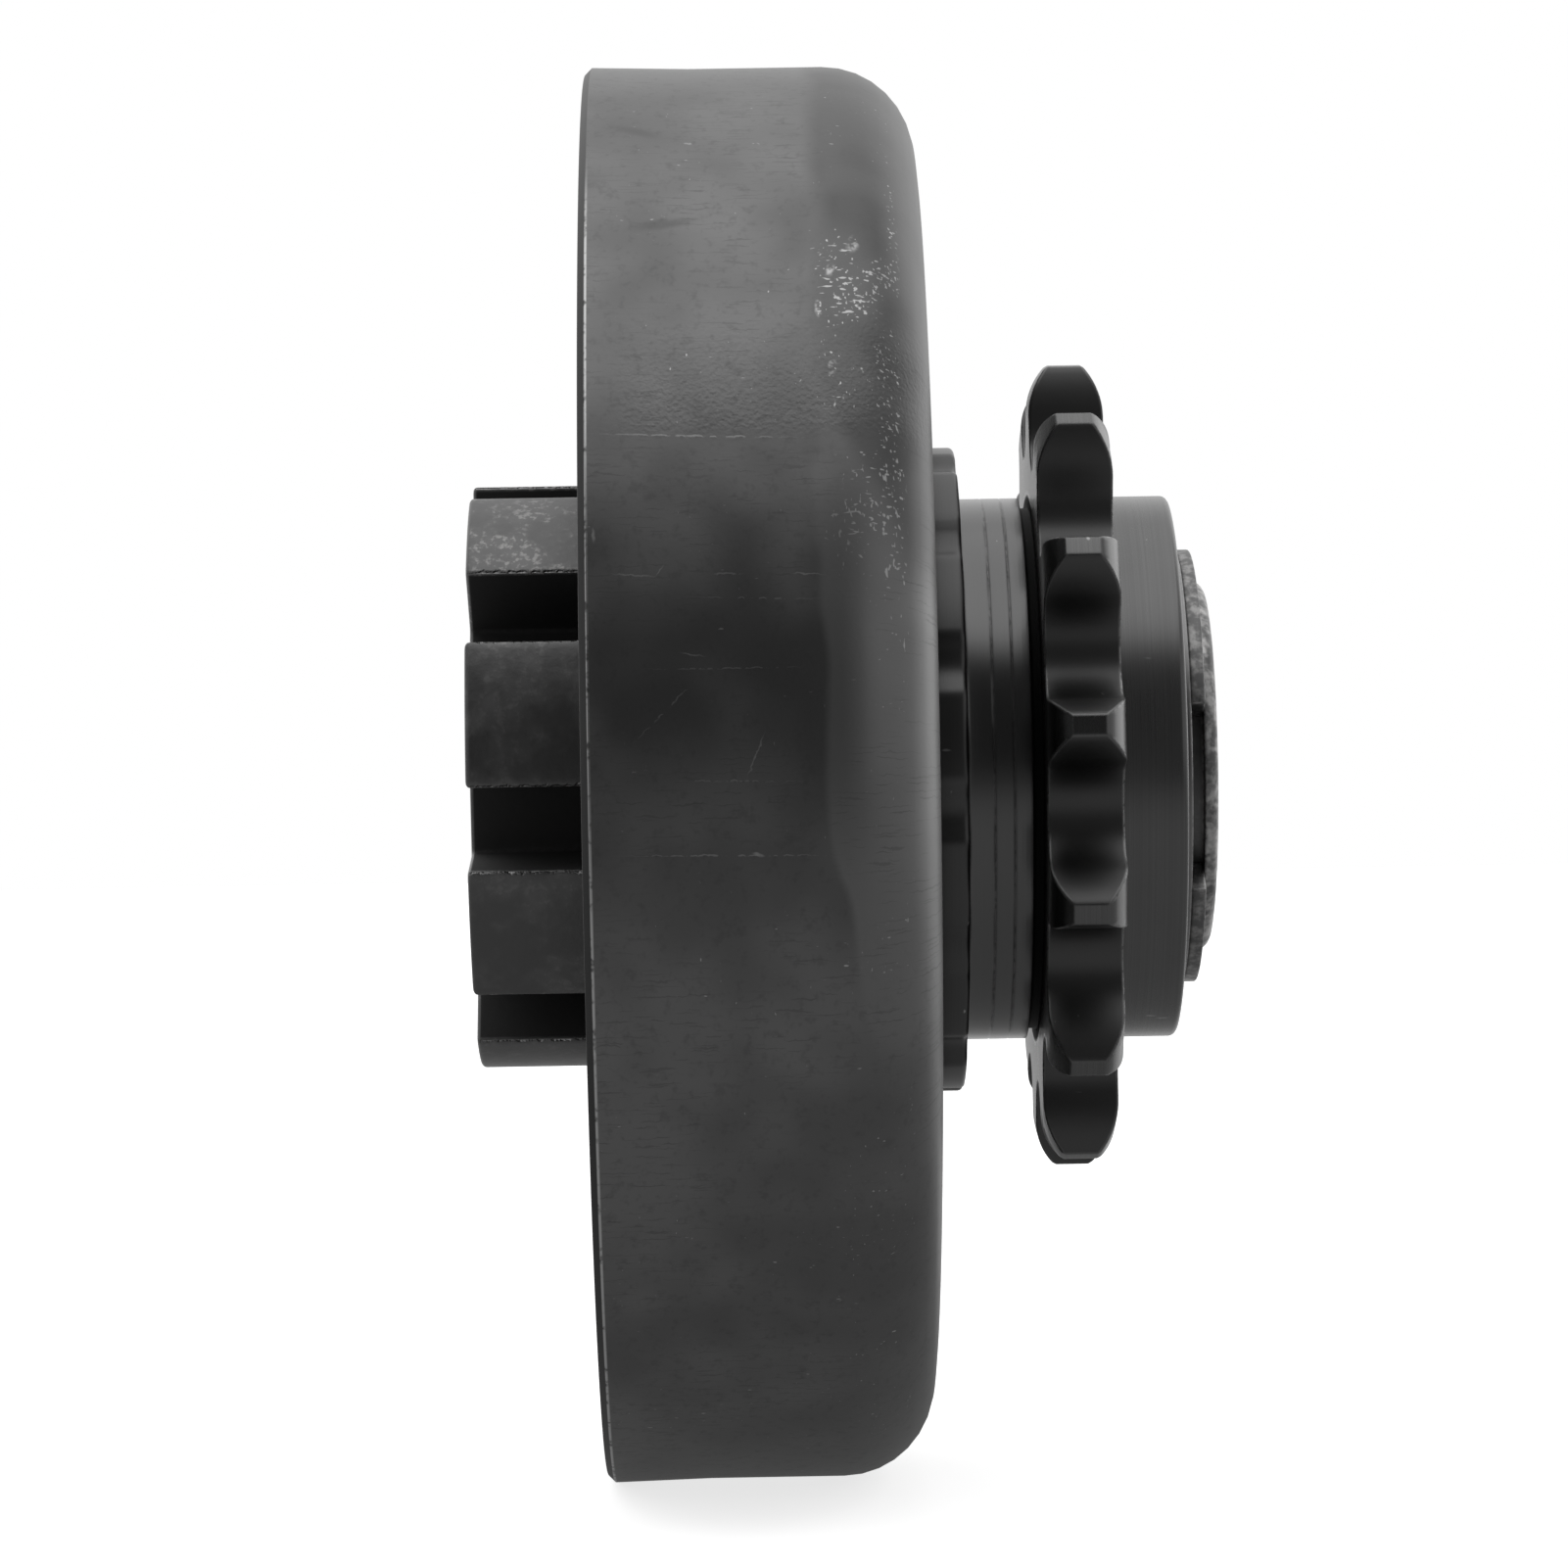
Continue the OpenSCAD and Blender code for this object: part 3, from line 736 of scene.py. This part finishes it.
# the turned section, with the tooth's sides reaching out to rho
def sprocketSection(s, rho, tip):
    arc, edge, barrel = s["reliefRadius"], s["edge"], s["barrel"]
    start = tip - math.sqrt(arc ** 2 - (arc - s["relief"]) ** 2)
    flange, root, undercut = min(s["flange"], rho), barrel - s["undercutDepth"], s["toothIn"] - s["undercut"]

    def cut(r):
        return 0.0 if r <= start else arc - math.sqrt(arc ** 2 - (r - start) ** 2)

    # one side of the tooth, outwards; way is 1 for the side nearer the drum and -1 for the other
    def toothSide(inner, level, way):
        reach = [inner + (rho - edge - inner) * t for t in (0.3, 0.5, 0.65, 0.78, 0.88, 0.95, 1.0)]
        points = [(r, cut(r)) for r in reach]
        points.append((rho - edge * s["edgeShare"], cut(rho) + edge * s["edgeShare"]))
        points += [(rho, cut(rho) + edge), (rho, cut(rho) + edge + s["border"])]
        return [Vector((r, level + way * up)) for r, up in points]

    low = [(s["bore"], s["lipIn"], 0), (s["lip"], s["lipIn"], 0.4), (s["lip"], s["webIn"], 0),
           (s["neck"], s["webIn"], 0), (s["neck"], s["drumDepth"], 0), (flange, s["drumDepth"], 0.15),
           (flange, s["flangeOut"], 0.4), (barrel, s["flangeOut"], 0.3)]
    for place in s["scores"]:
        at = s["flangeOut"] + place
        low += [(barrel, at, 0), (barrel - s["scoreDepth"], at + s["scoreWidth"] / 2, 0),
                (barrel, at + s["scoreWidth"], 0)]
    low += [(barrel, undercut, 0.1), (root, undercut, 0.15), (root, s["toothIn"], 0.15)]
    high = [(barrel + 0.3, s["toothOut"], 0), (barrel, s["toothOut"], 0.2), (barrel, s["barrelEnd"], 0.5),
            (s["bore"], s["barrelEnd"], 0)]
    section = rounded(low, closed=False) + toothSide(root, s["toothIn"], 1)
    section.append(Vector((rho, (s["toothIn"] + s["toothOut"]) / 2)))
    return section + toothSide(barrel, s["toothOut"], -1)[::-1] + rounded(high, closed=False)


def makeSprocket(s):
    half, tip = toothOutline(s)
    columns = half + [(rho, -turn) for rho, turn in reversed(half[:-1])]
    rows = [[aroundShaft(p.x, p.y, turn) for p in sprocketSection(s, rho, tip)] for rho, turn in columns]
    sprocket = gridMesh("sprocket_teeth", rows, closeRows=False)
    phase = math.radians(s["phase"])
    runTree(sprocket, repeatTree, {"Count": s["teeth"], "Phase": phase, "Finish": finishes["sprocket"]})
    faceOutwards(sprocket)
    smoothShade(sprocket, 28)
    settle(sprocket, "drum_assembly", "black_oxide_steel", "sprocket")


makeSprocket(sprocketLook)
print("sprocket made")


# the rotor hub: one slot's sector, repeated, with the keyway cut afterwards

hubLook = dict(
    body=22.8, slotHalf=3.15, floor=15.2, wallMiddle=18.5, insideFloor=14.0, bore=9.525, journal=14.5,
    inboard=-9.5, shoulder=18.9, keeperIn=0.6, keeperOut=1.8, grooveDepth=1.1, snapIn=45.5, snapOut=46.6,
    end=47.7, mouth=0.35, slotEdge=0.3, floorRound=0.4, endRound=1.0, keyWidth=4.76, keyDepth=2.4,
    keySlots=2.5, keyOverrun=10, edge=0.5, bodyBreak=0.1, keeperSlope=0.03, snapBreakIn=0.1,
    snapBreakOut=0.08)


# points of half a slot and half a rib; grow widens and deepens the slot
def hubOutline(s, radius, grow):
    halfWidth, floor = s["slotHalf"] + grow, s["floor"] - grow
    wallTop = math.sqrt(radius ** 2 - halfWidth ** 2)
    wallTurn, end = math.atan2(halfWidth, wallTop), math.pi / slotCount
    corners = [(floor, halfWidth * k / 4, 0) for k in range(4)] + [(floor, halfWidth, s["floorRound"])]
    corners += [(s["wallMiddle"], halfWidth, 0), (wallTop, halfWidth, s["slotEdge"])]
    for k in range(1, 8):
        a = wallTurn + (end - wallTurn) * k / 7
        corners.append((radius * math.cos(a), radius * math.sin(a), 0))
    return [(p.length, math.degrees(math.atan2(p.y, p.x))) for p in rounded(corners, closed=False)]


def cutKeyway(s, hub):
    cutter = newObject("keywayCutter")
    work = bmesh.new()
    bmesh.ops.create_cube(work, size=1.0)
    length, reach = s["end"] - s["inboard"] + s["keyOverrun"], s["bore"] + s["keyDepth"]
    turn = Matrix.Rotation(math.radians(slotPhase - s["keySlots"] * 360 / slotCount), 3, "Y")
    bmesh.ops.scale(work, vec=Vector((reach, length, s["keyWidth"])) * mm, verts=work.verts)
    middle = Vector((reach / 2, (s["end"] + s["inboard"]) / 2, 0)) * mm
    bmesh.ops.translate(work, vec=middle, verts=work.verts)
    bmesh.ops.rotate(work, cent=(0, 0, 0), matrix=turn, verts=work.verts)
    work.to_mesh(cutter.data)
    work.free()
    cut = hub.modifiers.new("keyway", "BOOLEAN")
    cut.operation, cut.solver, cut.object = "DIFFERENCE", "EXACT", cutter
    bake(hub)
    bpy.data.objects.remove(cutter)


def makeHub(s):
    last = len(hubOutline(s, s["body"], 0)) - 1
    spread = [180 / slotCount * math.sqrt(k / last) for k in range(last + 1)]
    rows = []

    def addRow(half, height):
        whole = [(r, -turn) for r, turn in reversed(half[1:])] + half
        rows.append([aroundShaft(r, height, turn) for r, turn in whole])

    def addCircles(*places):
        for radius, height in places:
            addRow([(radius, turn) for turn in spread], height)

    bore, edge, body, journal = s["bore"], s["edge"], s["body"], s["journal"]
    small, slope = s["bodyBreak"], s["keeperSlope"]
    addCircles((bore, s["inboard"] + edge), (bore + edge, s["inboard"]), (s["insideFloor"], s["inboard"]))
    for k in range(5):
        turn = math.radians(22.5 * k)
        cut = s["mouth"] * (1 - math.sin(turn))
        addRow(hubOutline(s, body - cut, cut), s["inboard"] + s["mouth"] * (1 - math.cos(turn)))
    groove, ringFloor = body - s["grooveDepth"], journal - s["grooveDepth"]
    for radius, height in ((body, s["keeperIn"] - small), (body - small, s["keeperIn"]),
                           (groove, s["keeperIn"] + slope), (groove, s["keeperOut"] - slope),
                           (body - small, s["keeperOut"]), (body, s["keeperOut"] + small),
                           (body, s["shoulder"] - small), (body - small, s["shoulder"])):
        addRow(hubOutline(s, radius, 0), height)
    addCircles((journal, s["shoulder"]), (journal, s["snapIn"] - s["snapBreakIn"]),
               (journal - s["snapBreakIn"], s["snapIn"]), (ringFloor, s["snapIn"]), (ringFloor, s["snapOut"]),
               (journal - s["snapBreakOut"], s["snapOut"]), (journal, s["snapOut"] + s["snapBreakOut"]))
    cut = s["endRound"]
    for k in range(6):
        a = math.radians(18 * k)
        addCircles((journal - cut + cut * math.cos(a), s["end"] - cut + cut * math.sin(a)))
    addCircles((bore + edge, s["end"]), (bore, s["end"] - edge))
    hub = gridMesh("rotor_hub_body", rows, closeRow=False)
    phase = math.radians(slotPhase)
    runTree(hub, repeatTree, {"Count": slotCount, "Phase": phase, "Finish": finishes["hub"]})
    faceOutwards(hub)
    cutKeyway(s, hub)
    hub.data.materials.clear()
    hub.data.materials.append(finishes["hub"])
    smoothShade(hub, 30)
    settle(hub, "rotor", "black_oxide_steel", "rotor_hub")


makeHub(hubLook)
print("rotor hub made")


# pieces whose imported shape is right: a welded copy gets rounded edges

copyLook = {
    "bush": dict(finish="bronze", slot="bronze", body="drum_assembly", round=0.2),
    "back_plate": dict(finish="plate", slot="plain_steel", body="rotor", round=0.15),
    "shoe_keeper_ring": dict(finish="wire", slot="spring_steel", body="rotor", round=0.15),
    "thrust_washer": dict(finish="washer", slot="plain_steel", body="rotor", round=0.06),
    "snap_ring": dict(finish="ring", slot="spring_steel", body="rotor", round=0.12),
    "shoe": dict(finish="sinter", slot="sintered_iron", round=0.35),
    "lining": dict(finish="lining", slot="friction_material", round=0.25),
}


def makeCopy(node, s, body):
    piece = newObject(node + "_finished")
    work = bmesh.new()
    work.from_mesh(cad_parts[node].data)
    bmesh.ops.remove_doubles(work, verts=work.verts, dist=0.001 * mm)
    bmesh.ops.dissolve_limit(work, angle_limit=math.radians(0.4), verts=work.verts, edges=work.edges)
    work.to_mesh(piece.data)
    work.free()
    bevel = piece.modifiers.new("edges", "BEVEL")
    bevel.width, bevel.segments = s["round"] * mm, 3
    bevel.limit_method, bevel.angle_limit = "ANGLE", math.radians(38)
    bake(piece)
    piece.data.materials.clear()
    piece.data.materials.append(finishes[s["finish"]])
    smoothShade(piece, 40)
    settle(piece, body, s["slot"], node)


for node in ("bush", "back_plate", "shoe_keeper_ring", "thrust_washer", "snap_ring"):
    makeCopy(node, copyLook[node], copyLook[node]["body"])
for i in range(1, slotCount + 1):
    for kind in ("shoe", "lining"):
        makeCopy(f"{kind}_{i}", copyLook[kind], f"shoe_unit_{i}")
print("plates, rings, shoes and linings made")


# garter springs: a coil for each shoe, so that each stretch moves with it

coilLook = dict(turns=32, stepsATurn=14, wire=0.95, outside=4.6, ring=41.56)


def makeCoils(s, node):
    low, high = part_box(node)
    share = 2 * math.pi / slotCount
    for i in range(1, slotCount + 1):
        coil = newObject(f"{node}_coil_{i}")
        runTree(coil, coilTree, {
            "Turns": s["turns"], "Steps a turn": s["stepsATurn"], "Sweep": share,
            "Start": math.radians(slotPhase) + (i - 1.5) * share,
            "Height": (low.y + high.y) / 2, "Ring radius": s["ring"] * mm,
            "Coil radius": (s["outside"] - s["wire"]) / 2 * mm, "Wire radius": s["wire"] / 2 * mm,
            "Finish": finishes["wire"]})
        settle(coil, f"shoe_unit_{i}", "spring_wire", node)


makeCoils(coilLook, "garter_spring_inboard")
makeCoils(coilLook, "garter_spring_outboard")
print("garter springs made")


# floor, light and camera; the floor's places are in metres, and glow and light are strengths

studio = dict(
    floorHalf=3.0, floorColour=0.8, floorMirrored=0.15, floorGlow=0.19, floorNear=(0.09, 0.5),
    floorBehind=0.45, floorFar=(0.03, 0.14), floorSeen=0.75, front=0.05, side=0.36, sideFrom=(0.2, 0.65),
    behind=0.85, behindFrom=(0.1, 0.7), above=1.1, aboveAngles=(42, 62))


def makeFloor(s):
    low, edge = cadBox[0].z, s["floorHalf"]
    corners = [(-edge, -edge, low), (edge, -edge, low), (edge, edge, low), (-edge, edge, low)]
    floor = newObject("floor")
    floor.data.from_pydata(corners, [], [(0, 1, 2, 3)])
    made = Finish("paleFloor", s["floorColour"], 1.0, metallic=0.0)
    path = made.tree.nodes.new("ShaderNodeLightPath").outputs
    # In reflections the floor is painted darker and glows, most behind the object and least far out towards
    # the camera: a painted reflection.
    made.layer(path["Is Glossy Ray"], s["floorMirrored"])
    x = parted(made.place)["X"]
    behind = product(rise(product(x, -1.0), *s["floorFar"]), s["floorBehind"])
    near = product(fall(x, *s["floorNear"]), s["floorGlow"])
    glow = product(total(behind, near), path["Is Glossy Ray"])
    feed(made.shader.inputs["Specular IOR Level"], 0.0)
    feed(made.shader.inputs["Emission Color"], 1.0)
    feed(made.shader.inputs["Emission Strength"], total(glow, product(path["Is Camera Ray"], s["floorSeen"])))
    floor.data.materials.append(made.close())


def makeWorld(s):
    world = bpy.data.worlds.new("studio")
    bpy.context.scene.world = world
    world.use_nodes = True
    tree = world.node_tree
    x, y, z = parted(tree.nodes.new("ShaderNodeTexCoord").outputs["Generated"])
    behind = product(rise(product(x, -1.0), *s["behindFrom"]), s["behind"])
    sides = product(rise(mathNode("ABSOLUTE", y), *s["sideFrom"]), s["side"])
    top = product(rise(z, *(math.sin(math.radians(a)) for a in s["aboveAngles"])), s["above"])
    seen = tree.nodes.new("ShaderNodeLightPath").outputs["Is Camera Ray"]
    background = tree.nodes["Background"].inputs
    feed(background["Color"], 1.0)
    feed(background["Strength"], highest(total(behind, sides, s["front"]), top, seen))


makeFloor(studio)
makeWorld(studio)

# the camera's place and turn come from fitting the teeth, the drum and the hub in the photograph
view = dict(imageSide=1601, focalPixels=6131.0, roll=0.0169, yaw=-0.0071, rimX=-188.85, rimY=8.73,
            pixelsPerMm=12.97, sensor=36.0)


def makeCamera(s):
    roll, yaw = s["roll"], s["yaw"]
    along = Vector((math.cos(roll) * math.cos(yaw), math.sin(roll) * math.cos(yaw), math.sin(yaw)))
    up = Vector((-math.sin(roll), math.cos(roll), 0.0))
    rows = Matrix((along.cross(up), along, up))
    toCamera = Vector((-s["rimX"], -s["rimY"], s["focalPixels"])) / s["pixelsPerMm"] * mm
    camera = newObject("camera", bpy.data.cameras.new("camera"))
    camera.data.sensor_width = s["sensor"]
    camera.data.lens = s["sensor"] * s["focalPixels"] / s["imageSide"]
    camera.data.clip_start, camera.data.clip_end = 0.01, 20.0
    camera.matrix_world = Matrix.Translation(rows @ toCamera) @ rows.to_4x4()
    bpy.context.scene.camera = camera


makeCamera(view)
bpy.context.scene.view_settings.view_transform = "Standard"
